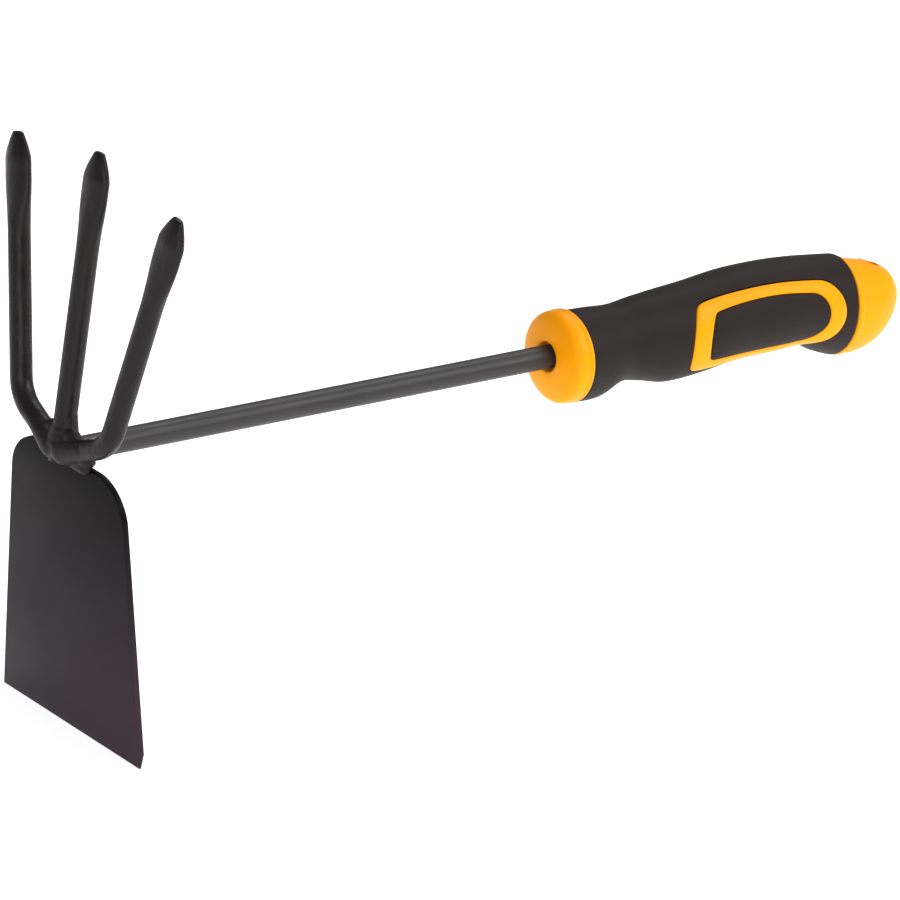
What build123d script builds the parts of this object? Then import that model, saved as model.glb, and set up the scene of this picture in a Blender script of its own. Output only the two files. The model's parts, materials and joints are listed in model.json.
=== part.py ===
from build123d import *
import os
from math import radians, sin, cos, tan

# Short hand hoe with three cultivator tines on the back of its blade.
# Millimetres. The origin is on the shank's axis, where the hang hole crosses it.
# +X points along the shank towards the butt of the handle, so the head is at -X.
# +Z points the way of the tines, and the blade hangs down. Left and right are
# those of a user who holds the handle and looks at the head: left is -Y.

# ---- driving dimensions ----
SHANK_BAR = 9.1           # round steel bar of the shank
TINE_BAR = 8.4            # round steel bar of the tines
FREE_SHANK = 218.5        # from the head's plane to the collar's face
HANDLE = 167.0            # from the collar's face to the end of the cap
HOLE_FROM_END = 12.0      # hang hole's axis, measured from the end of the cap
HOLE_R = 3.0              # hang hole radius

BLADE_T = 2.5             # blade plate thickness
BLADE_DEPTH = 108.0       # from the top edge of the plate to the cutting edge
BLADE_TOP = -2.0          # height of the plate's top edge
BLADE_LOW_W = 88.0        # width at the cutting edge
BLADE_TOP_W = 68.4        # width that the straight sides would have at the top
BLADE_SHOULDER_R = 17.0   # radius of each top corner
BLADE_LEAN = 5.3          # degrees, the cutting edge towards the user
BLADE_BEVEL = 5.0         # height of the ground bevel on the back of the edge
EDGE_LAND = 0.8           # thickness left at the cutting edge

TINE_X = -3.4             # tine axes at the root, in front of the head's plane
TINE_LEAN = 4.3           # degrees, the tips towards the user
TINE_GAP = 0.3            # between pieces that only the welds join
TINE_FOOT = -4.5          # height of the middle tine's foot, in front of the blade
ROOT_Y = 3.0              # an outer tine's root starts here, inside the middle one
ROOT_Z = 0.8              # height of that start
ROOT_RISE = 24.0          # degrees, slope of an outer tine's root
BEND_R = 15.0             # centre line radius of an outer tine's bend
SPLAY = 13.5              # degrees, outer tines away from the middle one
OUTER_TIP_Y = 50.3        # an outer tine's tip
OUTER_TIP_Z = 105.2
MIDDLE_TIP_Z = 113.5      # the middle tine's tip
LANCE = 38.0              # length of the forged end of a tine
LANCE_POINT = 10.5        # from its full width to the tip
LANCE_BODY = 6.0          # length of its full width
LANCE_W = 14.4            # full width of the forged end
LANCE_T = 7.0             # thickness there
TIP_W = 5.8               # blunt tip
TIP_T = 3.4

COLLAR_R = 18.0           # front collar
COLLAR_Z = -1.0           # its axis, a little below the shank's
COLLAR_T = 8.0            # its thickness at the rim
COLLAR_RIM = 1.9          # rounding of the rim
COLLAR_DOME = 2.0         # how far its face stands out in the middle
COLLAR_FLAT_R = 7.0       # flat middle of the face
COLLAR_EDGE = 0.9         # rounding of the rim's front edge
COLLAR_SINK = 1.2         # depth and width of the cone round the shank
SPIGOT_R = 10.5           # spigots of collar and cap inside the core
SPIGOT_L = 6.0

SKIN = 2.4                # thickness of the soft sleeve over the core
TRIM_PROUD = 0.3          # side trim rings stand out of the sleeve
PAD_PROUD = 0.2           # side pads stand out of the sleeve
CAP_SPLIT = 137.2         # sleeve's rear end on the axis, from the collar's face
CAP_TILT = 3.0            # degrees, the plane of that end, its foot forwards

TANG_LEN = 112.0          # steel inside the handle
PADDLE_L = 20.0           # flattened end of the tang, which stops it turning
PADDLE_W = 13.0
PADDLE_T = 5.0
PADDLE_R = 2.5            # rounded corners of the paddle

WELD_SHANK = 2.4          # leg of the fillet weld round the shank's front end
WELD_ROOT = 2.0           # leg of the fillet welds at the outer tines' roots
WELD_BLADE_R = 2.2        # bead between the blade and the tines
WELD_BLADE_HALF = 14.0    # half its length
WELD_SINK = 0.4           # its axis below the plate's top edge

# ---- derived places ----
SHANK_R = SHANK_BAR / 2
TINE_R = TINE_BAR / 2
FACE = HOLE_FROM_END - HANDLE          # X of the collar's face
HEAD = FACE - FREE_SHANK               # X of the head's plane
SHANK_END = HEAD + BLADE_T / 2 + 2 * TINE_GAP

# Stations of the grip: distance behind the collar's face, top, foot, half width.
# A flare behind the collar, a saddle for the first finger, a long belly for the
# other three, and a heel that hooks behind the little finger.
GRIP = [
    (COLLAR_T, 16.0, -19.2, 17.2),
    (19.0, 15.9, -19.1, 15.8),
    (30.0, 15.4, -14.7, 14.4),
    (40.5, 16.8, -15.9, 15.0),
    (52.0, 17.9, -18.3, 16.2),
    (66.0, 19.0, -17.5, 17.0),
    (84.0, 21.0, -15.1, 17.3),
    (103.0, 21.4, -14.5, 17.3),
    (117.5, 20.6, -14.0, 17.3),
    (127.5, 19.7, -18.4, 17.2),
    (138.0, 18.6, -21.9, 17.0),
    (145.0, 17.8, -22.3, 16.8),
]

# Sections of the end cap behind its flat front: top point, foot point (X from the
# collar's face, then Z) and half width. Each leans more than the one before.
CAP = [
    ((146.4, 15.3), (142.4, -21.7), 16.3),
    ((153.9, 13.6), (149.4, -20.4), 15.1),
    ((160.6, 10.6), (155.8, -17.0), 12.3),
    ((163.8, 7.4), (162.0, -10.2), 8.4),
    ((166.8, 3.7), (165.8, -3.2), 3.7),
]
CAP_FRONT = (17.2, -20.8, 16.4)        # top, foot and half width of the cap's front

# Side trim ring, seen from the side: distance behind the collar's face, and Z.
RING_OUT = {"foot": (58.0, -12.0), "front": (56.5, 0.8), "corner": (60.2, 14.3),
            "crown": (90.0, 17.3), "end": (117.2, 2.2), "end_r": 13.6, "low": 2.5, "high": 4.5}
RING_IN = {"foot": (66.3, -7.9), "front": (64.7, 1.6), "corner": (67.8, 11.3),
           "crown": (92.0, 13.8), "end": (112.6, 2.2), "end_r": 10.1, "low": 2.0, "high": 3.0}


def oval(top, foot, half_width):
    """Oval section of the handle through a top and a foot point at its middle."""
    middle = Vector((top[0] + foot[0]) / 2, 0, (top[1] + foot[1]) / 2)
    up = Vector(top[0] - foot[0], 0, top[1] - foot[1])
    plane = Plane(origin=middle, x_dir=(0, 1, 0), z_dir=Vector(0, 1, 0).cross(up))
    return plane * Ellipse(half_width, up.length / 2)


def grip_body(extra):
    """Whole body of the grip, thicker all round by extra, or thinner if negative."""
    sections = []
    for s, top, foot, half in GRIP:
        x = FACE + s
        sections.append(oval((x, top + extra), (x, foot - extra), half + extra))
    return loft(sections)


def split_x(z):
    """X of the tilted plane where the sleeve ends, at height z."""
    return FACE + CAP_SPLIT + z * tan(radians(CAP_TILT))


def behind_split():
    """Block of space behind the plane where the sleeve ends."""
    tilt = radians(CAP_TILT)
    plane = Plane(origin=(split_x(0), 0, 0), x_dir=(0, 1, 0), z_dir=(cos(tilt), 0, -sin(tilt)))
    return extrude(plane * Rectangle(80, 80), 60)


def ring_face(out):
    """Outline of a side ring: bowed front, arched top, round end, level foot."""
    end_x, end_z = out["end"]
    r = out["end_r"]
    upper = (end_x, end_z + r)
    lower = (end_x, end_z - r)
    edges = ThreePointArc(out["foot"], out["front"], out["corner"])
    edges += ThreePointArc(out["corner"], out["crown"], upper)
    edges += ThreePointArc(upper, (end_x + r, end_z), lower) + Line(lower, out["foot"])
    face = make_face(edges)
    low = face.vertices().sort_by_distance(Vector(*out["foot"]))[0]
    face = fillet(low, out["low"])
    corner = face.vertices().sort_by_distance(Vector(*out["corner"]))[0]
    return fillet(corner, out["high"])


def side_prism(out):
    """Straight prism over a ring outline, from the middle plane out to the left."""
    return extrude(Plane.XZ * Pos(FACE, 0) * ring_face(out), 40)


def both_sides(solid):
    return solid + mirror(solid, about=Plane.XZ)


def tang():
    """Steel inside the handle: the bar, then a flattened paddle."""
    length = TANG_LEN - PADDLE_L
    bar = Pos(FACE, 0, 0) * extrude(Plane.YZ * Circle(SHANK_R), length)
    paddle = Pos(FACE + length + PADDLE_L / 2, 0, 0) * Box(PADDLE_L, PADDLE_W, PADDLE_T)
    return bar + fillet(paddle.edges().filter_by(Axis.Z), PADDLE_R)


def shank():
    bar = Pos(SHANK_END, 0, 0) * extrude(Plane.YZ * Circle(SHANK_R), FACE - SHANK_END)
    return bar + tang()


def tine_point():
    """Forged lance end of a tine, standing on the XY plane and pointing up."""
    full = Ellipse(LANCE_T / 2, LANCE_W / 2)
    top = LANCE - LANCE_POINT
    swell = loft([Circle(TINE_R), Pos(0, 0, top - LANCE_BODY) * full], ruled=True)
    body = Pos(0, 0, top - LANCE_BODY) * extrude(full, LANCE_BODY)
    tip = Pos(0, 0, LANCE) * Ellipse(TIP_T / 2, TIP_W / 2)
    return swell + body + loft([Pos(0, 0, top) * full, tip], ruled=True)


def lean_tine(tine):
    """Lean a tine that was built in the YZ plane, and set it at the head."""
    return Pos(HEAD + TINE_X, 0, 0) * Rot(0, TINE_LEAN, 0) * tine


def middle_tine():
    """Straight bar with its foot in front of the blade, between the other roots."""
    shoulder = MIDDLE_TIP_Z - LANCE
    bar = Pos(0, 0, TINE_FOOT) * extrude(Circle(TINE_R), shoulder - TINE_FOOT)
    return lean_tine(bar + Pos(0, 0, shoulder) * tine_point())


def root_start():
    return Vector(0, ROOT_Y, ROOT_Z)


def root_way():
    """Direction of the right tine's root, out and up."""
    return Vector(0, cos(radians(ROOT_RISE)), sin(radians(ROOT_RISE)))


def right_tine():
    """Outer tine: rising root, one bend, straight splayed bar, lance point."""
    splay = radians(SPLAY)
    tip_way = Vector(0, sin(splay), cos(splay))
    start = root_start()
    tip = Vector(0, OUTER_TIP_Y, OUTER_TIP_Z)
    across = (tip - start).cross(tip_way).X / root_way().cross(tip_way).X
    corner = start + root_way() * across
    cut = BEND_R * tan((radians(90 - ROOT_RISE) - splay) / 2)
    bend_in = corner - root_way() * cut
    bend_out = corner + tip_way * cut
    shoulder = tip - tip_way * LANCE
    path = Line(start, bend_in) + TangentArc(bend_in, bend_out, tangent=root_way())
    path += Line(bend_out, shoulder)
    bar = sweep(Plane(origin=start, z_dir=root_way()) * Circle(TINE_R), path)
    point = Plane(origin=shoulder, x_dir=(1, 0, 0), z_dir=tip_way) * tine_point()
    return lean_tine(bar + point)


def hoe_blade():
    """Flat plate with round shoulders, and a bevel ground behind the edge."""
    low = BLADE_TOP - BLADE_DEPTH
    outline = Polyline(
        (-BLADE_TOP_W / 2, BLADE_TOP), (BLADE_TOP_W / 2, BLADE_TOP),
        (BLADE_LOW_W / 2, low), (-BLADE_LOW_W / 2, low), close=True)
    face = make_face(outline)
    face = fillet(face.vertices().sort_by(Axis.Y)[-2:], BLADE_SHOULDER_R)
    plate = extrude(Plane.YZ * face, BLADE_T)
    grind = make_face(Polyline(
        (EDGE_LAND, low - 1), (EDGE_LAND, low), (BLADE_T, low + BLADE_BEVEL),
        (BLADE_T + 1, low + BLADE_BEVEL), (BLADE_T + 1, low - 1), close=True))
    plate -= extrude(Plane.XZ * grind, BLADE_LOW_W, both=True)
    return Pos(HEAD, 0, 0) * Rot(0, -BLADE_LEAN, 0) * Pos(-BLADE_T / 2, 0, 0) * plate


def weld_ring(bar_r, leg):
    """Fillet weld round a bar: a cone that stands on the XY plane."""
    return Pos(0, 0, leg / 2) * Cone(bar_r + leg, bar_r, leg)


def bead(x, z, half, radius):
    """Weld bead with round ends, across the tool."""
    ends = Pos(x, half, z) * Sphere(radius) + Pos(x, -half, z) * Sphere(radius)
    return ends + Pos(x, 0, z) * Rot(90, 0, 0) * Cylinder(radius, 2 * half)


def welds(steel):
    """The weld beads, each cut back to the steel and the beads laid before it."""
    root = root_start() + root_way() * ((TINE_R - ROOT_Y) / root_way().Y)
    beads = {
        "shank_weld": Pos(SHANK_END, 0, 0) * Rot(0, 90, 0) * weld_ring(SHANK_R, WELD_SHANK),
        "right_tine_weld": lean_tine(Plane(origin=root, z_dir=root_way())
                                     * weld_ring(TINE_R, WELD_ROOT)),
    }
    beads["left_tine_weld"] = mirror(beads["right_tine_weld"], about=Plane.XZ)
    beads["blade_weld"] = bead(
        HEAD + TINE_X, BLADE_TOP - WELD_SINK, WELD_BLADE_HALF, WELD_BLADE_R)
    laid = list(steel)
    for name in beads:
        for other in laid:
            beads[name] = beads[name] - other
        laid.append(beads[name])
    return beads


def front_collar():
    """Thick disc with a domed face, a hole for the shank and a spigot behind."""
    flat = (-COLLAR_DOME, COLLAR_FLAT_R)
    shoulder = (COLLAR_RIM - COLLAR_EDGE, COLLAR_R - COLLAR_EDGE)
    rim = (COLLAR_RIM, COLLAR_R)
    profile = Polyline(rim, (COLLAR_T, COLLAR_R), (COLLAR_T, 0), (-COLLAR_DOME, 0), flat)
    profile += Spline(flat, shoulder, tangents=[(0, 1), (1, 1.6)])
    profile += RadiusArc(shoulder, rim, COLLAR_EDGE)
    disc = Pos(0, 0, COLLAR_Z) * revolve(Plane.XZ * make_face(profile), Axis.X)
    disc += extrude(Plane.YZ * Circle(SPIGOT_R), COLLAR_T + SPIGOT_L)
    disc -= Pos(-10, 0, 0) * extrude(Plane.YZ * Circle(SHANK_R), 40)
    disc -= Pos(-COLLAR_DOME + COLLAR_SINK / 2, 0, 0) * Rot(0, 90, 0) * Cone(
        SHANK_R + COLLAR_SINK, SHANK_R, COLLAR_SINK)
    return Pos(FACE, 0, 0) * disc


def cap_spigot():
    """Round plug of the end cap, which sits in the back of the core."""
    return Pos(split_x(0) - SPIGOT_L, 0, 0) * extrude(
        Plane.YZ * Circle(SPIGOT_R), SPIGOT_L + 4)


def end_cap():
    """Butt of the handle: flat front, full heel, end that looks up, hang hole."""
    top, foot, half = CAP_FRONT
    sections = [oval((split_x(top), top), (split_x(foot), foot), half)]
    for (top_s, top_z), (foot_s, foot_z), half in CAP:
        sections.append(oval((FACE + top_s, top_z), (FACE + foot_s, foot_z), half))
    return loft(sections) + cap_spigot() - Cylinder(HOLE_R, 80)


def handle_core(inner):
    """Hard core under the sleeve, moulded round the tang."""
    front = Pos(FACE, 0, 0) * extrude(Plane.YZ * Circle(SPIGOT_R), COLLAR_T + SPIGOT_L)
    return inner - behind_split() - front - cap_spigot() - tang()


def handle():
    """The sleeve, the core, and the trim ring and pad in each side window."""
    inner = grip_body(-SKIN)
    window = side_prism(RING_OUT)
    middle = side_prism(RING_IN)
    ring = (grip_body(TRIM_PROUD) - inner) & (window - middle)
    pad = (grip_body(PAD_PROUD) - inner) & middle
    return {
        "handle_core": handle_core(inner),
        "grip_sleeve": grip_body(0) - inner - behind_split() - both_sides(window),
        "left_trim_ring": ring,
        "right_trim_ring": mirror(ring, about=Plane.XZ),
        "left_side_pad": pad,
        "right_side_pad": mirror(pad, about=Plane.XZ),
        "front_collar": front_collar(),
        "end_cap": end_cap(),
    }


def head():
    """Steel of the head: the outer roots fit round the middle tine, the blade under all."""
    middle = middle_tine()
    right = right_tine() - middle
    left = mirror(right, about=Plane.XZ)
    blade = hoe_blade() - middle - right - left
    return {"hoe_blade": blade, "middle_tine": middle, "right_tine": right, "left_tine": left}


def all_parts():
    parts = {"shank": shank()}
    parts.update(head())
    parts.update(welds(list(parts.values())))
    parts.update(handle())
    return parts


os.makedirs("parts", exist_ok=True)
for name, solid in all_parts().items():
    export_step(solid, f"parts/{name}.step")
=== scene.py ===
import bpy
import bmesh
import json
import math
from mathutils import Matrix, Vector


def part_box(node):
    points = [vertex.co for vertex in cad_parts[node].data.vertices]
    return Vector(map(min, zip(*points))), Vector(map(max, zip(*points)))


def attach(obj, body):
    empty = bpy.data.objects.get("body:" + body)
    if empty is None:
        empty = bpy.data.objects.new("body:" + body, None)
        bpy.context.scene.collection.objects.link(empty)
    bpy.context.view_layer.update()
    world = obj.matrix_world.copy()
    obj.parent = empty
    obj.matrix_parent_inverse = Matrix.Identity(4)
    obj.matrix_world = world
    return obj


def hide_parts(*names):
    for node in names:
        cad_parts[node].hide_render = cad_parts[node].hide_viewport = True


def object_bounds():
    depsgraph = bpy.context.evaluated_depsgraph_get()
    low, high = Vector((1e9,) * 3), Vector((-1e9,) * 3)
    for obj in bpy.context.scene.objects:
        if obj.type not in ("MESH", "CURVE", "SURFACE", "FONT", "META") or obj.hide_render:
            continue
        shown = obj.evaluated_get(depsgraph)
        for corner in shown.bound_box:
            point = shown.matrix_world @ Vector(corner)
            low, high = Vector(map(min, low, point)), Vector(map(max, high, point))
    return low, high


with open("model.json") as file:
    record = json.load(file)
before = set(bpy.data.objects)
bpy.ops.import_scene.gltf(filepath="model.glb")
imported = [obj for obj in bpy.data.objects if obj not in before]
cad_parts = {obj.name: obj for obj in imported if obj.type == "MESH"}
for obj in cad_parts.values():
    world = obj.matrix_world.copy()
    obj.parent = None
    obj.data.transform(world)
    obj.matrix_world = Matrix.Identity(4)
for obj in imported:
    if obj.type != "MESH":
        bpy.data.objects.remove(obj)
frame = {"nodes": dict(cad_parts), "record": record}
cad_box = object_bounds()

MM = 0.001

# ---- places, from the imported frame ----
COLLAR_T = 8.0               # the sleeve starts this far behind the collar's face
SHANK_SHORT = 1.85           # the shank ends this far behind the blade's middle plane
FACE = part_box("grip_sleeve")[0][0] - COLLAR_T * MM  # X of the collar's face at its rim
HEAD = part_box("shank")[0][0] - SHANK_SHORT * MM     # X of the blade's middle plane at z 0
FLOOR = cad_box[0][2]

# ---- camera: direction, roll, distance and lens of the view ----
VIEW_AZ, VIEW_EL, VIEW_ROLL = -38.6, 21.5, 4.8
VIEW_DISTANCE = 3.0
VIEW_LENS = 321.64
VIEW_TARGET = Vector((FACE - 44.0 * MM, 0, -30.3 * MM))

# ---- grip, in mm: distance behind the collar's face, top, foot, half width ----
GRIP = [
    (8.0, 16.0, -19.2, 17.2),
    (19.0, 15.9, -19.1, 15.8),
    (30.0, 15.4, -14.7, 14.4),
    (40.5, 16.8, -15.9, 15.0),
    (52.0, 17.9, -18.3, 16.2),
    (66.0, 19.0, -17.5, 17.0),
    (84.0, 21.0, -15.1, 17.3),
    (103.0, 21.4, -14.5, 17.3),
    (117.5, 20.6, -14.0, 17.3),
    (127.5, 19.7, -18.4, 17.2),
    (138.0, 18.6, -21.9, 17.0),
    (145.0, 17.8, -22.3, 16.8),
]
SLEEVE_FROM = 8.15           # a hair's gap to the collar and to the cap
SLEEVE_TO = 136.95
SLEEVE_SKIN = 2.4
SPLIT_TILT = math.tan(math.radians(3.0))
TILT_FROM, TILT_OVER = 100, 30   # the loops start to lean here, and lean fully after that
LOOP_POINTS = 120            # points in each loop round the sleeve and the cap
# end cap sections: number, top point, foot point, half width
CAP = [
    (0, 138.1, 17.2, 136.1, -20.8, 16.4),
    (1, 146.4, 15.3, 142.4, -21.7, 16.3),
    (2, 153.9, 13.6, 149.4, -20.4, 15.1),
    (3, 160.6, 10.6, 155.8, -17.0, 12.3),
    (4, 163.8, 7.4, 162.0, -10.2, 8.4),
    (5, 166.6, 3.7, 165.6, -3.2, 3.7),
]
CAP_STEP = 7.3               # mean distance from its first section to the second
HOLE_R = 3.0
HOLE_ROUND = 0.4             # rounding of the hang hole's two mouths

# ---- front collar, in mm ----
COLLAR_LOW = 1.0             # its rim sits this much lower than the shank
COLLAR_FLAT_R = 6.9          # inside this radius it stays on the shank's axis
COLLAR_DROP_RUN = 11.0       # and beyond it, takes this far to come down

# ---- side trim ring, seen from the side, in mm: foot, front, corner, crown, round end ----
RING_OUT = ((58.0, -12.0), (56.5, 0.8), (60.2, 14.3), (90.0, 17.3), (117.2, 2.2), 13.6)
RING_IN = ((66.3, -7.9), (64.7, 1.6), (67.8, 11.3), (92.0, 13.8), (112.6, 2.2), 10.1)
RING_GAP = 0.3               # groove between the ring and the rubber on both sides of it

# ---- head, in mm ----
BLADE_T, BLADE_DEPTH, BLADE_TOP = 2.5, 108.0, -2.0
BLADE_LOW_W, BLADE_TOP_W = 88.0, 68.4
BLADE_CORNER = 15.5          # length that each round shoulder takes off its two sides
BLADE_LEAN = 5.3
BLADE_BEVEL, EDGE_LAND = 5.0, 0.8
TINE_R = 4.2
TINE_X, TINE_LEAN = -3.4, 4.3
ROOT = Vector((0, 3.0, 0.8))
ROOT_RISE, SPLAY, BEND_R = 24.0, 13.5, 15.0
OUTER_TIP = Vector((0, 50.3, 105.2))
MIDDLE_TIP_Z = 113.5
LANCE, LANCE_POINT, LANCE_BODY = 38.0, 10.5, 6.0
LANCE_W, LANCE_T = 14.25, 7.0
TIP_W, TIP_T = 5.8, 3.4
BAR_POINTS = 48              # points in each loop round a tine
WELD_VOXEL = 0.45            # finest detail of the weld mass
WELD_PASSES = 22             # smoothing passes that melt its lumps together

MERGE = 0.002                # points closer than this are one


# ==== materials ====

def linear(hex_colour):
    """sRGB hex to linear RGBA."""
    out = []
    for i in (0, 2, 4):
        c = int(hex_colour[i:i + 2], 16) / 255
        out.append(c / 12.92 if c <= 0.04045 else ((c + 0.055) / 1.055) ** 2.4)
    return (*out, 1.0)


def add(tree, kind, settings, inputs):
    """One shader node with its settings; an input is a value or a socket to link."""
    node = tree.nodes.new("ShaderNode" + kind)
    for name, value in settings.items():
        setattr(node, name, value)
    for name, value in inputs.items():
        if isinstance(value, bpy.types.NodeSocket):
            tree.links.new(value, node.inputs[name])
        else:
            node.inputs[name].default_value = value
    return node


def surface(name, principled):
    """New material and its tree, Principled node and object coordinates."""
    mat = bpy.data.materials.new(name)
    mat.use_nodes = True
    tree = mat.node_tree
    shader = tree.nodes["Principled BSDF"]
    for key, value in principled.items():
        shader.inputs[key].default_value = value
    place = add(tree, "TexCoord", {}, {}).outputs["Object"]
    return mat, tree, shader, place


def grain(tree, place, size_mm, detail):
    """Noise whose lumps are about that size."""
    return add(tree, "TexNoise", {}, {
        "Vector": place, "Scale": 1000 / size_mm, "Detail": detail}).outputs["Fac"]


def spread(tree, value, low, high):
    """A noise value opened out to run from low to high."""
    return add(tree, "MapRange", {}, {
        "Value": value, "From Min": 0.3, "From Max": 0.7,
        "To Min": low, "To Max": high}).outputs["Result"]


def relief(tree, shader, height, depth_mm, strength):
    """Surface texture of that depth."""
    bump = add(tree, "Bump", {}, {
        "Height": height, "Distance": depth_mm * MM, "Strength": strength})
    tree.links.new(bump.outputs["Normal"], shader.inputs["Normal"])


def tint(tree, shader, value, dark, light):
    """Base colour that drifts between two near tones."""
    mix = add(tree, "Mix", {"data_type": "RGBA"}, {"Factor": value})
    mix.inputs["A"].default_value = linear(dark)
    mix.inputs["B"].default_value = linear(light)
    tree.links.new(mix.outputs["Result"], shader.inputs["Base Color"])


def downwards(tree, place, from_mm, to_mm, cloud):
    """Runs from 0 to 1 down the object between two heights, with cloudy edges."""
    height = add(tree, "SeparateXYZ", {}, {"Vector": place}).outputs["Z"]
    fade = add(tree, "MapRange", {}, {
        "Value": height, "From Min": from_mm * MM, "From Max": to_mm * MM,
        "To Min": -0.25, "To Max": 0.7}).outputs["Result"]
    total = add(tree, "Math", {"operation": "MULTIPLY_ADD", "use_clamp": True},
                {0: cloud, 1: 0.4, 2: fade})
    return total.outputs["Value"]


def stoved_enamel():
    """Black stoved enamel on rolled plate: near black, with painted light from below that makes
    it paler and browner towards the cutting edge, a satin sheen that drifts with the film's
    thickness, faint peel."""
    mat, tree, shader, place = surface("black_stoved_enamel", {
        "Roughness": 0.5, "IOR": 1.5, "Specular IOR Level": 0.07})
    cloud = grain(tree, place, 28.0, 3.0)
    # painted light: the colour grows paler and browner down the blade, standing in for light
    # thrown up from below
    tint(tree, shader, downwards(tree, place, 0.0, -90.0, cloud), "080607", "3a2c35")
    tree.links.new(spread(tree, cloud, 0.42, 0.56), shader.inputs["Roughness"])
    relief(tree, shader, grain(tree, place, 1.6, 2.0), 0.03, 0.5)
    return mat


def forged_enamel():
    """The same enamel over hammered bar: dents catch short streaks of light."""
    mat, tree, shader, place = surface("enamel_on_forged_bar", {
        "Roughness": 0.4, "IOR": 1.5, "Specular IOR Level": 0.21})
    run = add(tree, "Mapping", {}, {"Vector": place, "Scale": (1.0, 1.0, 0.3)})
    dents = grain(tree, run.outputs["Vector"], 3.5, 3.0)
    # painted highlight: the colour follows the same stretched dents, so paler streaks along the
    # bar are painted as well as lit
    tint(tree, shader, dents, "0d0a0b", "1e1718")
    tree.links.new(spread(tree, dents, 0.3, 0.5), shader.inputs["Roughness"])
    relief(tree, shader, dents, 0.5, 0.8)
    return mat


def weld_enamel():
    """Enamel over weld metal: duller, with the ripples of the bead under it."""
    mat, tree, shader, place = surface("enamel_on_weld", {
        "Roughness": 0.5, "IOR": 1.5, "Specular IOR Level": 0.21})
    shader.inputs["Base Color"].default_value = linear("1a1517")
    relief(tree, shader, grain(tree, place, 2.6, 2.0), 0.25, 0.5)
    return mat


def grey_enamel():
    """Grey satin enamel on drawn bar: fine lengthwise draw lines keep it soft."""
    mat, tree, shader, place = surface("grey_satin_enamel_on_bar", {
        "Roughness": 0.45, "IOR": 1.5, "Specular IOR Level": 0.36})
    # real draw lines are near 0.1 mm apart; 0.6 mm is the finest that shows
    lines = add(tree, "Mapping", {}, {"Vector": place, "Scale": (0.02, 1.0, 1.0)})
    drawn = grain(tree, lines.outputs["Vector"], 0.6, 2.0)
    tint(tree, shader, grain(tree, place, 30.0, 2.0), "272526", "312f2e")
    tree.links.new(spread(tree, drawn, 0.4, 0.52), shader.inputs["Roughness"])
    relief(tree, shader, drawn, 0.02, 0.4)
    return mat


def soft_rubber():
    """Moulded thermoplastic rubber: brown-black, dry, with a fine spark-eroded grain."""
    mat, tree, shader, place = surface("moulded_soft_rubber", {
        "Roughness": 0.6, "IOR": 1.5, "Specular IOR Level": 0.18})
    tint(tree, shader, grain(tree, place, 22.0, 2.0), "1c1412", "231a17")
    # the real grain is near 0.2 mm; 0.7 mm is the finest that shows
    relief(tree, shader, grain(tree, place, 0.7, 2.0), 0.05, 0.45)
    return mat


def orange_plastic():
    """Injection-moulded polypropylene: full orange, soft gloss, light enters a little."""
    mat, tree, shader, place = surface("injection_moulded_orange_polypropylene", {
        "Roughness": 0.4, "IOR": 1.49, "Specular IOR Level": 0.12,
        "Subsurface Weight": 0.15, "Subsurface Radius": (0.004, 0.002, 0.0005)})
    shader.inputs["Subsurface Scale"].default_value = 0.3
    tint(tree, shader, grain(tree, place, 25.0, 2.0), "ff9e00", "ffa400")
    tree.links.new(spread(tree, grain(tree, place, 9.0, 2.0), 0.36, 0.44),
                   shader.inputs["Roughness"])
    relief(tree, shader, grain(tree, place, 1.2, 2.0), 0.02, 0.35)
    return mat


def floor_paper():
    """White studio paper: matt, lit from behind a little so that it stays pale."""
    return surface("white_studio_paper", {
        "Roughness": 0.9, "Specular IOR Level": 0.1, "Base Color": linear("f4f4f4"),
        "Emission Color": linear("ffffff"), "Emission Strength": 0.72})[0]


# ==== shapes ====

def skin(rows):
    """Surface through a row of closed loops, each a list of as many points."""
    bm = bmesh.new()
    which = bm.verts.layers.int.new("place")
    ring = bmesh.ops.create_circle(bm, segments=len(rows[0]), radius=1)["verts"]
    for i, v in enumerate(ring):
        v[which] = i
        v.co = rows[0][i]
    edges = list(bm.edges)
    for row in rows[1:]:
        made = bmesh.ops.extrude_edge_only(bm, edges=edges)["geom"]
        for v in made:
            if isinstance(v, bmesh.types.BMVert):
                v.co = row[v[which]]
        edges = [e for e in made if isinstance(e, bmesh.types.BMEdge) and e.is_boundary]
    return bm


def close_ends(bm):
    """Faces over the open ends, in triangles."""
    bmesh.ops.holes_fill(bm, edges=[e for e in bm.edges if e.is_boundary], sides=0)
    ends = [f for f in bm.faces if len(f.verts) > 4]
    bmesh.ops.triangulate(bm, faces=ends)


def finish_piece(name, bm, replaced, mat, sharp):
    """Merge, turn the normals out, and put the piece in the scene on the tool's body."""
    bmesh.ops.remove_doubles(bm, verts=bm.verts, dist=MERGE * MM)
    bmesh.ops.recalc_face_normals(bm, faces=bm.faces)
    mesh = bpy.data.meshes.new(name)
    bm.to_mesh(mesh)
    bm.free()
    mesh.shade_smooth()
    mesh.set_sharp_from_angle(angle=math.radians(sharp))
    mesh.materials.append(mat)
    obj = bpy.data.objects.new(name, mesh)
    bpy.context.collection.objects.link(obj)
    if replaced:
        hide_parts(*replaced)
    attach(obj, "root")
    return obj


def mirrored(bm):
    """A copy on the tool's other side."""
    other = bm.copy()
    bmesh.ops.transform(other, matrix=Matrix.Diagonal((1, -1, 1, 1)), verts=other.verts)
    return other


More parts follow.
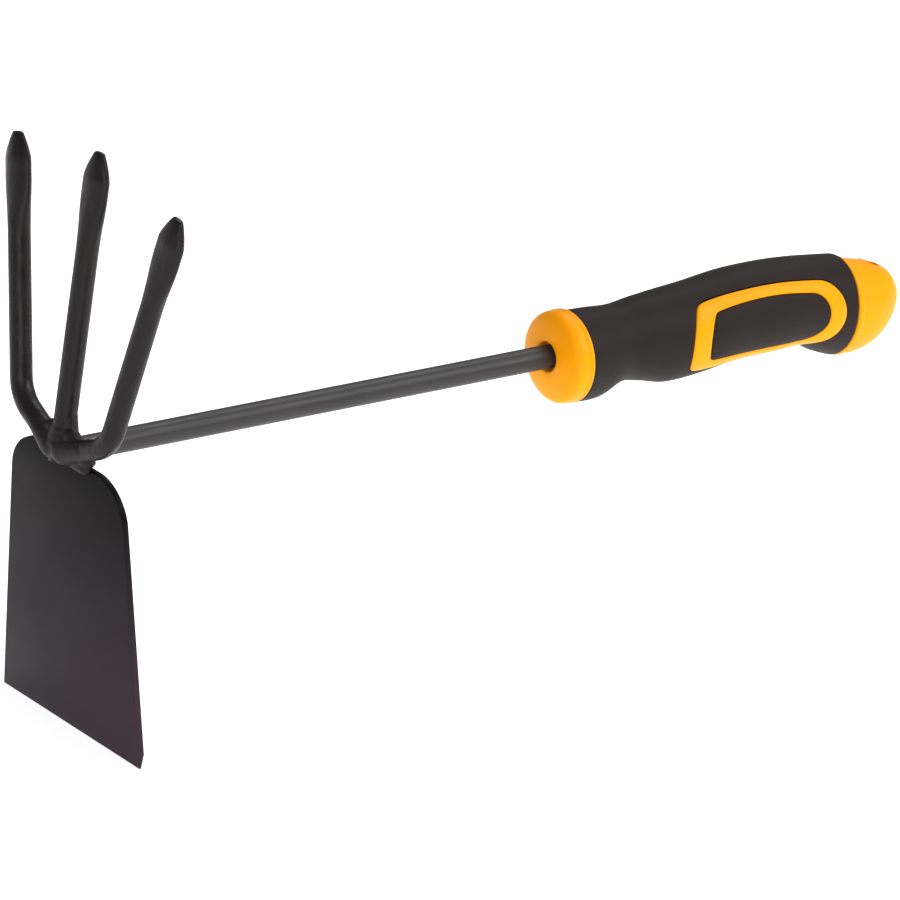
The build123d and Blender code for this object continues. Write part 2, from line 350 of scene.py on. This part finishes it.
def between(table, s):
    """Row of a table at s, on a smooth curve through its rows."""
    last = len(table) - 1
    k = max(i for i in range(last) if table[i][0] <= s or i == 0)
    a, b = table[k], table[k + 1]
    before, after = table[max(k - 1, 0)], table[min(k + 2, last)]
    span = b[0] - a[0]
    t = (s - a[0]) / span
    out = []
    for c in range(1, len(a)):
        m0 = (b[c] - before[c]) / (b[0] - before[0]) * span
        m1 = (after[c] - a[c]) / (after[0] - a[0]) * span
        out.append((2 * t**3 - 3 * t**2 + 1) * a[c] + (t**3 - 2 * t**2 + t) * m0
                   + (3 * t**2 - 2 * t**3) * b[c] + (t**3 - t**2) * m1)
    return out


def grip_loop(s, out_mm, tilt, count):
    """Loop round the grip at s, raised by out_mm, in a plane leaning by tilt."""
    loop = []
    for i in range(count):
        a = 2 * math.pi * i / count
        z = 0.0
        for _ in range(4):
            top, foot, half = between(GRIP, s + z * tilt)
            z = (top + foot) / 2 + ((top - foot) / 2 + out_mm) * math.sin(a)
        y = (half + out_mm) * math.cos(a)
        loop.append(Vector((FACE + (s + z * tilt) * MM, y * MM, z * MM)))
    return loop


def on_side(s, z, out_mm):
    """Point on the grip's left side, raised by out_mm."""
    top, foot, half = between(GRIP, s)
    mid, tall = (top + foot) / 2, (top - foot) / 2
    rise = (z - mid) / tall
    y = -half * math.sqrt(max(0.0, 1 - rise * rise))
    way = Vector((0, y / half**2, (z - mid) / tall**2)).normalized()
    return Vector((FACE, 0, 0)) + (Vector((s, y, z)) + way * out_mm) * MM


def arc(a, b, c, count):
    """Points on the circle through a, b and c, from a up to but not with c."""
    ax, ay, bx, by, cx, cy = *a, *b, *c
    d = 2 * (ax * (by - cy) + bx * (cy - ay) + cx * (ay - by))
    ux = ((ax**2 + ay**2) * (by - cy) + (bx**2 + by**2) * (cy - ay)
          + (cx**2 + cy**2) * (ay - by)) / d
    uy = ((ax**2 + ay**2) * (cx - bx) + (bx**2 + by**2) * (ax - cx)
          + (cx**2 + cy**2) * (bx - ax)) / d
    r = math.hypot(ax - ux, ay - uy)
    start = math.atan2(ay - uy, ax - ux)
    turn = (math.atan2(cy - uy, cx - ux) - start) % (2 * math.pi) - 2 * math.pi
    return [(ux + r * math.cos(start + turn * i / count),
             uy + r * math.sin(start + turn * i / count)) for i in range(count)]


def straight(a, b, count):
    """Points on the line from a up to but not with b."""
    return [(a[0] + (b[0] - a[0]) * i / count, a[1] + (b[1] - a[1]) * i / count)
            for i in range(count)]


def ring_outline(shape, smoothing, grow):
    """Closed side view of the ring: bowed front, arched top, round end, foot; grown."""
    foot, front, corner, crown, (end_x, end_z), r = shape
    upper, lower = (end_x, end_z + r), (end_x, end_z - r)
    line = arc(foot, front, corner, 28) + arc(corner, crown, upper, 60)
    line += arc(upper, (end_x + r, end_z), lower, 48) + straight(lower, foot, 56)
    for _ in range(smoothing):
        line = [((p[0] + 2 * q[0] + n[0]) / 4, (p[1] + 2 * q[1] + n[1]) / 4)
                for p, q, n in zip(line[-1:] + line[:-1], line, line[1:] + line[:1])]
    out = []
    for p, q, n in zip(line[-1:] + line[:-1], line, line[1:] + line[:1]):
        along = Vector((n[0] - p[0], n[1] - p[1])).normalized()
        out.append((q[0] - along.y * grow, q[1] + along.x * grow))
    return out


def slab_section(matrix, wide, thick, power, count):
    """Loop of a bar's section: a circle or ellipse at power 2, ridged below it."""
    loop = []
    for i in range(count):
        a = 2 * math.pi * i / count
        c, s = math.cos(a), math.sin(a)
        k = (abs(c) ** power + abs(s) ** power) ** (-1 / power)
        loop.append(matrix @ Vector((thick / 2 * c * k, wide / 2 * s * k, 0)))
    return loop


# ==== head ====

def blade():
    """Plate with round shoulders, bevel ground behind the cutting edge, edges eased."""
    bm = bmesh.new()
    low = BLADE_TOP - BLADE_DEPTH
    corners = [(-BLADE_LOW_W / 2, low), (BLADE_LOW_W / 2, low),
               (BLADE_TOP_W / 2, BLADE_TOP), (-BLADE_TOP_W / 2, BLADE_TOP)]
    verts = [bm.verts.new((-BLADE_T / 2, y, z)) for y, z in corners]
    bm.faces.new(verts)
    bmesh.ops.bevel(bm, geom=verts[2:], offset=BLADE_CORNER, segments=20, profile=0.5,
                    affect="VERTICES", material=-1)
    out = bmesh.ops.extrude_face_region(bm, geom=list(bm.faces))["geom"]
    bmesh.ops.translate(bm, vec=(BLADE_T, 0, 0),
                        verts=[v for v in out if isinstance(v, bmesh.types.BMVert)])
    bmesh.ops.bisect_plane(bm, geom=list(bm.verts) + list(bm.edges) + list(bm.faces),
                           plane_co=(0, 0, low + BLADE_BEVEL), plane_no=(0, 0, 1))
    edge = [v for v in bm.verts if v.co.x > 0 and v.co.z < low + 0.01]
    bmesh.ops.translate(bm, vec=(EDGE_LAND - BLADE_T, 0, 0), verts=edge)
    bmesh.ops.recalc_face_normals(bm, faces=bm.faces)
    rims = [e for e in bm.edges if e.calc_face_angle(0) > math.radians(40)]
    bmesh.ops.bevel(bm, geom=rims, offset=0.3, segments=3, profile=0.5,
                    affect="EDGES", material=-1)
    place = (Matrix.Translation((HEAD, 0, 0)) @ Matrix.Rotation(math.radians(-BLADE_LEAN), 4, "Y")
             @ Matrix.Scale(MM, 4))
    bmesh.ops.transform(bm, matrix=place, verts=bm.verts)
    return bm


def tine_place():
    """From millimetres at the tines' root to its place on the tool."""
    return (Matrix.Translation((HEAD + TINE_X * MM, 0, 0))
            @ Matrix.Rotation(math.radians(TINE_LEAN), 4, "Y") @ Matrix.Scale(MM, 4))


def across(point, way):
    """Frame across a tine: its X stays the tool's X, its Z runs along the bar."""
    side = way.cross(Vector((1, 0, 0))).normalized()
    m = Matrix((Vector((1, 0, 0)), side, way)).transposed().to_4x4()
    m.translation = point
    return tine_place() @ m


def lance_rows(shoulder, way):
    """Sections of the forged end: swells, gains a ridge, then narrows to a blunt tip."""
    rows = []
    full_at = LANCE - LANCE_POINT - LANCE_BODY
    bar = 2 * TINE_R
    for t in [i / 16 for i in range(1, 17)]:
        ease = t * t * (3 - 2 * t)
        rows.append((full_at * t, bar + (LANCE_W - bar) * ease, bar + (LANCE_T - bar) * ease,
                     2 - 0.25 * ease))
    for t in (0.25, 0.5, 0.75, 0.9):
        rows.append((full_at + LANCE_BODY * t, LANCE_W, LANCE_T, 1.75))
    for t in [i / 10 for i in range(11)]:
        bow = t ** 1.4
        rows.append((full_at + LANCE_BODY + (LANCE_POINT - 0.9) * t,
                     LANCE_W + (TIP_W - LANCE_W) * bow,
                     LANCE_T + (TIP_T - LANCE_T) * bow, 1.75 + 0.25 * t))
    rows.append((LANCE - 0.35, TIP_W * 0.86, TIP_T * 0.82, 2.0))
    rows.append((LANCE - 0.08, TIP_W * 0.62, TIP_T * 0.55, 2.0))
    rows.append((LANCE, TIP_W * 0.3, TIP_T * 0.25, 2.0))
    return [slab_section(across(shoulder + way * d, way), w, t, p, BAR_POINTS)
            for d, w, t, p in rows]


def bar_row(point, way):
    """Round section of the plain bar."""
    return slab_section(across(point, way), 2 * TINE_R, 2 * TINE_R, 2.0, BAR_POINTS)


def middle_tine():
    """Straight tine with its foot in front of the blade."""
    up = Vector((0, 0, 1))
    shoulder = up * (MIDDLE_TIP_Z - LANCE)
    rows = [bar_row(up * z, up) for z in (-3.2, 5, 15, 30, 45, 60)]
    rows.append(bar_row(shoulder, up))
    bm = skin(rows + lance_rows(shoulder, up))
    close_ends(bm)
    return bm


def outer_tine():
    """Right-hand tine: rising root, bend, splayed bar, forged end."""
    rise, splay = math.radians(ROOT_RISE), math.radians(SPLAY)
    root_way = Vector((0, math.cos(rise), math.sin(rise)))
    tip_way = Vector((0, math.sin(splay), math.cos(splay)))
    reach = (OUTER_TIP - ROOT).cross(tip_way).x / root_way.cross(tip_way).x
    corner = ROOT + root_way * reach
    turn = math.radians(90) - rise - splay
    cut = BEND_R * math.tan(turn / 2)
    bend_in = corner - root_way * cut
    centre = bend_in + Vector((0, -math.sin(rise), math.cos(rise))) * BEND_R
    rows = [bar_row(ROOT + (bend_in - ROOT) * t, root_way) for t in (0, 0.33, 0.66)]
    for i in range(15):
        a = turn * i / 14
        way = Vector((0, math.cos(rise + a), math.sin(rise + a)))
        rows.append(bar_row(centre + Vector((0, math.sin(rise + a), -math.cos(rise + a)))
                            * BEND_R, way))
    bend_out = corner + tip_way * cut
    shoulder = OUTER_TIP - tip_way * LANCE
    rows += [bar_row(bend_out + (shoulder - bend_out) * t, tip_way) for t in (0.33, 0.66, 1)]
    bm = skin(rows + lance_rows(shoulder, tip_way))
    close_ends(bm)
    return bm


def blob(bm, x, y, z, rx, ry, rz):
    """Lump of weld metal, in mm from the head."""
    m = Matrix.Translation((HEAD + x * MM, y * MM, z * MM)) @ Matrix.Diagonal(
        (rx * MM, ry * MM, rz * MM, 1))
    bmesh.ops.create_icosphere(bm, subdivisions=4, radius=1, matrix=m)


def weld_mass():
    """One run of weld metal that ties the shank, the roots and the blade together."""
    bm = bmesh.new()
    blob(bm, 2.8, 0, -0.2, 4.8, 6.4, 6.2)
    blob(bm, -2.6, 0, 1.6, 6.0, 7.4, 5.5)
    for z, r in ((4.0, 6.5), (6.5, 6.0), (9.0, 5.5), (11.5, 5.0), (14.0, 4.6)):
        blob(bm, -3.1 + 0.075 * z, 0, z, r * 0.92, r, 3.4)
    for side in (-1, 1):
        for k in range(13):
            y = 3.5 + 0.9 * k
            r = 6.2 - 0.135 * k
            blob(bm, -3.1, side * y, 1.4 + (y - 3) * 0.42, r, r, r - 1.0)
        blob(bm, -3.0, side * 6.0, 7.8, 3.2, 3.0, 3.2)
        blob(bm, -3.0, side * 7.6, 7.2, 2.8, 2.6, 2.8)
        for k in range(6):
            blob(bm, -0.9, side * (5.0 + 1.7 * k), -0.9 + 0.3 * k, 3.0, 3.2, 2.6 - 0.15 * k)
    for k in range(34):
        blob(bm, -1.4, -13.2 + 0.8 * k, -2.2, 2.6, 2.2, 2.2)
    return bm


# ==== handle ====

def sleeve():
    """Soft sleeve: open tube with rounded lips at both ends."""
    lip = [(0.0, -1.1), (0.08, -0.6), (0.25, -0.28), (0.55, -0.08), (1.0, 0.0)]
    rows = [(SLEEVE_FROM + d, out, 0.0) for d, out in lip]
    steps = 108
    for i in range(1, steps):
        s = SLEEVE_FROM + 1 + (SLEEVE_TO - SLEEVE_FROM - 2) * i / steps
        lean = min(1.0, max(0.0, (s - TILT_FROM) / TILT_OVER))
        rows.append((s, 0.0, SPLIT_TILT * lean))
    rows += [(SLEEVE_TO - d, out, SPLIT_TILT) for d, out in reversed(lip)]
    inner = [(SLEEVE_TO, SPLIT_TILT), (120, SPLIT_TILT / 2), (100, 0), (80, 0), (60, 0),
             (40, 0), (24, 0), (SLEEVE_FROM, 0)]
    rows += [(s, -SLEEVE_SKIN, tilt) for s, tilt in inner]
    rows.append(rows[0])
    return skin([grip_loop(s, out, tilt, LOOP_POINTS) for s, out, tilt in rows])


def ring_rows(levels, gap):
    """Rows across the ring, from its outer outline to its inner one, each at a height."""
    outer = ring_outline(RING_OUT, 8, gap)
    inner = ring_outline(RING_IN, 5, -gap)
    rows = []
    for u, out in levels:
        rows.append([on_side(p[0] + (q[0] - p[0]) * u, p[1] + (q[1] - p[1]) * u, out)
                     for p, q in zip(outer, inner)])
    return rows


def trim_ring():
    """Left trim ring: a band with rounded edges, laid along the side of the grip."""
    return skin(ring_rows([
        (0.0, -1.6), (0.0, -0.45), (0.012, -0.15), (0.04, 0.08), (0.1, 0.24), (0.25, 0.32),
        (0.5, 0.34), (0.75, 0.32), (0.9, 0.24), (0.96, 0.08), (0.988, -0.15), (1.0, -0.45),
        (1.0, -1.6), (0.5, -1.6), (0.0, -1.6)], 0.0))


def ring_groove():
    """Space that the left ring and the gap on both its sides take out of the sleeve."""
    return skin(ring_rows([(0.0, -1.7), (0.0, 1.2), (0.5, 1.2), (1.0, 1.2), (1.0, -1.7),
                           (0.5, -1.7), (0.0, -1.7)], RING_GAP))


def side_pad():
    """Left pad inside the ring: slightly crowned, with eased edges."""
    edge = ring_outline(RING_IN, 5, -RING_GAP)
    levels = [(0.0, -1.4), (0.0, -0.5), (0.015, -0.15), (0.05, 0.05), (0.11, 0.12),
              (0.25, 0.16), (0.45, 0.18), (0.65, 0.2), (0.82, 0.2), (0.94, 0.2)]
    rows = []
    for u, out in levels:
        row = []
        for x, z in edge:
            mid_x, mid_z = min(max(x, 76.0), 112.0), 2.0
            row.append(on_side(x + (mid_x - x) * u, z + (mid_z - z) * u, out))
        rows.append(row)
    bm = skin(rows)
    close_ends(bm)
    return bm


def collar():
    """Front collar turned from its profile, distance behind the face and radius: a well
    round the shank, a domed face and a bead at the back."""
    profile = [(15.0, 4.6), (2.2, 4.6), (2.0, 4.75), (2.0, 5.6), (-1.2, 5.7), (-1.65, 5.9),
               (-1.9, 6.3), (-2.0, 7.0), (-1.93, 8.5), (-1.68, 10.3), (-1.25, 12.2),
               (-0.65, 14.0), (-0.05, 15.4), (0.6, 16.4), (1.3, 17.05), (2.1, 17.45),
               (3.1, 17.7), (4.3, 17.8), (5.4, 17.82), (5.75, 17.7), (6.0, 17.72),
               (6.2, 17.9), (6.5, 18.0), (7.2, 18.0), (7.6, 17.92), (7.85, 17.7),
               (7.95, 17.3), (8.0, 16.4), (8.0, 10.5), (15.0, 10.5)]
    bm = bmesh.new()
    verts = [bm.verts.new((x, 0, r)) for x, r in profile]
    edges = [bm.edges.new(pair) for pair in zip(verts, verts[1:] + verts[:1])]
    bmesh.ops.spin(bm, geom=verts + edges, cent=(0, 0, 0), axis=(1, 0, 0),
                   angle=2 * math.pi, steps=144, use_merge=True)
    for v in bm.verts:
        if v.co.x < COLLAR_T + 0.5:
            beyond = (math.hypot(v.co.y, v.co.z) - COLLAR_FLAT_R) / COLLAR_DROP_RUN
            v.co.z -= COLLAR_LOW * min(1.0, max(0.0, beyond))
    place = Matrix.Translation((FACE, 0, 0)) @ Matrix.Scale(MM, 4)
    bmesh.ops.transform(bm, matrix=place, verts=bm.verts)
    return bm


def cap_loop(number, out_mm, shrink, back_mm):
    """Loop round the end cap at a section number, raised, shrunk or moved back."""
    top_s, top_z, foot_s, foot_z, half = between(CAP, number)
    mid = Vector(((top_s + foot_s) / 2 + back_mm, 0, (top_z + foot_z) / 2))
    up = Vector((top_s - foot_s, 0, top_z - foot_z)) / 2
    tall = up.length
    loop = []
    for i in range(LOOP_POINTS):
        a = 2 * math.pi * i / LOOP_POINTS
        p = mid + (up * ((tall + out_mm) / tall * math.sin(a))
                   + Vector((0, (half + out_mm) * math.cos(a), 0))) * shrink
        loop.append(Vector((FACE, 0, 0)) + p * MM)
    return loop


def cap():
    """Butt of the handle: rounded lip at the front, full heel, end that looks up."""
    lip = [(0.0, -0.9), (0.05, -0.25), (0.2, 0.2), (0.5, 0.5), (1.0, 0.62), (1.9, 0.6),
           (2.4, 0.42), (2.8, 0.14), (3.2, 0.0)]
    rows = [cap_loop(d / CAP_STEP, out, 1.0, 0.0) for d, out in lip]
    rows += [cap_loop(0.5 + 4.5 * i / 50, 0.0, 1.0, 0.0) for i in range(51)]
    rows += [cap_loop(5, 0.0, k, back) for k, back in ((0.75, 0.2), (0.45, 0.36), (0.15, 0.44))]
    bm = skin(rows)
    close_ends(bm)
    return bm


def cut_out(obj, cutters, sharp):
    """Takes closed shapes out of a piece, and rounds the hang hole's mouths if it has them."""
    tools = []
    for bm in cutters:
        bmesh.ops.remove_doubles(bm, verts=bm.verts, dist=MERGE * MM)
        bmesh.ops.recalc_face_normals(bm, faces=bm.faces)
        mesh = bpy.data.meshes.new("cutter")
        bm.to_mesh(mesh)
        bm.free()
        tool = bpy.data.objects.new("cutter", mesh)
        bpy.context.collection.objects.link(tool)
        tools.append(tool)
        cut = obj.modifiers.new("cut", "BOOLEAN")
        cut.operation = "DIFFERENCE"
        cut.solver = "EXACT"
        cut.object = tool
    depsgraph = bpy.context.evaluated_depsgraph_get()
    done = bpy.data.meshes.new_from_object(obj.evaluated_get(depsgraph))
    obj.modifiers.clear()
    for tool in tools:
        bpy.data.objects.remove(tool)
    bm = bmesh.new()
    bm.from_mesh(done)
    mouth = [e for e in bm.edges
             if all(abs(math.hypot(v.co.x, v.co.y) - HOLE_R * MM) < 0.01 * MM for v in e.verts)
             and e.calc_face_angle(0) > math.radians(25)]
    bmesh.ops.bevel(bm, geom=mouth, offset=HOLE_ROUND * MM, segments=3, profile=0.5,
                    affect="EDGES", material=-1)
    bmesh.ops.recalc_face_normals(bm, faces=bm.faces)
    bm.to_mesh(obj.data)
    bm.free()
    obj.data.shade_smooth()
    obj.data.set_sharp_from_angle(angle=math.radians(sharp))


def hang_hole():
    """Rod of the hang hole's size, through the cap."""
    bm = bmesh.new()
    bmesh.ops.create_cone(bm, cap_ends=True, segments=64, radius1=HOLE_R * MM,
                          radius2=HOLE_R * MM, depth=80 * MM)
    return bm


# ==== scene ====

def paint(mats):
    """Every CAD node's material; the shank and the handle's core stay visible."""
    for part in frame["record"]["subparts"]:
        obj = frame["nodes"][part["node"]]
        obj.data.materials.clear()
        obj.data.materials.append(mats[part["node"]])


def camera():
    """Long lens from the front left and above, rolled a little."""
    az, el, roll = (math.radians(a) for a in (VIEW_AZ, VIEW_EL, VIEW_ROLL))
    back = Vector((math.sin(az) * math.cos(el), -math.cos(az) * math.cos(el), math.sin(el)))
    right = (-back).cross(Vector((0, 0, 1))).normalized()
    up = right.cross(-back)
    r = right * math.cos(roll) + up * math.sin(roll)
    u = -right * math.sin(roll) + up * math.cos(roll)
    place = Matrix((r, u, back)).transposed().to_4x4()
    place.translation = VIEW_TARGET + back * VIEW_DISTANCE
    data = bpy.data.cameras.new("camera")
    data.lens = VIEW_LENS
    data.clip_end = 20
    cam = bpy.data.objects.new("camera", data)
    cam.matrix_world = place
    bpy.context.collection.objects.link(cam)
    bpy.context.scene.camera = cam


def area_light(name, position, size, watts):
    """Square soft box that looks at the middle of the tool."""
    data = bpy.data.lights.new(name, "AREA")
    data.energy = watts
    data.size = size
    lamp = bpy.data.objects.new(name, data)
    way = VIEW_TARGET - Vector(position)
    turn = way.to_track_quat("-Z", "Y").to_matrix().to_4x4()
    lamp.matrix_world = Matrix.Translation(position) @ turn
    bpy.context.collection.objects.link(lamp)


def studio():
    """Pale floor, pale surroundings and three soft boxes."""
    bm = bmesh.new()
    bmesh.ops.create_grid(bm, x_segments=1, y_segments=1, size=12,
                          matrix=Matrix.Translation((0, 0, FLOOR)))
    mesh = bpy.data.meshes.new("floor")
    bm.to_mesh(mesh)
    bm.free()
    mesh.materials.append(floor_paper())
    floor = bpy.data.objects.new("floor", mesh)
    bpy.context.collection.objects.link(floor)
    world = bpy.data.worlds.new("studio")
    bpy.context.scene.world = world
    world.use_nodes = True
    background = world.node_tree.nodes["Background"]
    background.inputs["Color"].default_value = (1, 1, 1, 1)
    background.inputs["Strength"].default_value = 0.38
    area_light("key", (0.9, -1.3, 1.3), 1.2, 27)
    area_light("fill", (-1.5, -1.4, 0.5), 1.0, 10)
    area_light("top", (0.8, 0.6, 1.7), 0.9, 12)
    bpy.context.scene.view_settings.view_transform = "Standard"


plate, bar, weld = stoved_enamel(), forged_enamel(), weld_enamel()
grey, rubber, orange = grey_enamel(), soft_rubber(), orange_plastic()
paint({
    "shank": grey, "hoe_blade": plate, "middle_tine": bar, "right_tine": bar,
    "left_tine": bar, "shank_weld": weld, "right_tine_weld": weld, "left_tine_weld": weld,
    "blade_weld": weld, "handle_core": orange, "grip_sleeve": rubber,
    "left_trim_ring": orange, "right_trim_ring": orange, "left_side_pad": rubber,
    "right_side_pad": rubber, "front_collar": orange, "end_cap": orange,
})

finish_piece("blade_plate", blade(), ["hoe_blade"], plate, 30)
finish_piece("middle_prong", middle_tine(), ["middle_tine"], bar, 60)
outer = outer_tine()
finish_piece("left_prong", mirrored(outer), ["left_tine"], bar, 60)
finish_piece("right_prong", outer, ["right_tine"], bar, 60)
hub = finish_piece("head_weld", weld_mass(), ["shank_weld", "right_tine_weld",
                   "left_tine_weld", "blade_weld"], weld, 80)
blend = hub.modifiers.new("blend", "REMESH")
blend.mode = "VOXEL"
blend.voxel_size = WELD_VOXEL * MM
blend.use_smooth_shade = True
ease = hub.modifiers.new("ease", "SMOOTH")
ease.factor = 0.5
ease.iterations = WELD_PASSES
tube = finish_piece("rubber_sleeve", sleeve(), ["grip_sleeve"], rubber, 60)
groove = ring_groove()
cut_out(tube, [mirrored(groove), groove], 40)
band = trim_ring()
finish_piece("right_band", mirrored(band), ["right_trim_ring"], orange, 70)
finish_piece("left_band", band, ["left_trim_ring"], orange, 70)
pad = side_pad()
finish_piece("right_pad", mirrored(pad), ["right_side_pad"], rubber, 70)
finish_piece("left_pad", pad, ["left_side_pad"], rubber, 70)
finish_piece("collar_disc", collar(), ["front_collar"], orange, 45)
butt = finish_piece("butt_cap", cap(), ["end_cap"], orange, 60)
cut_out(butt, [hang_hole()], 50)

camera()
studio()
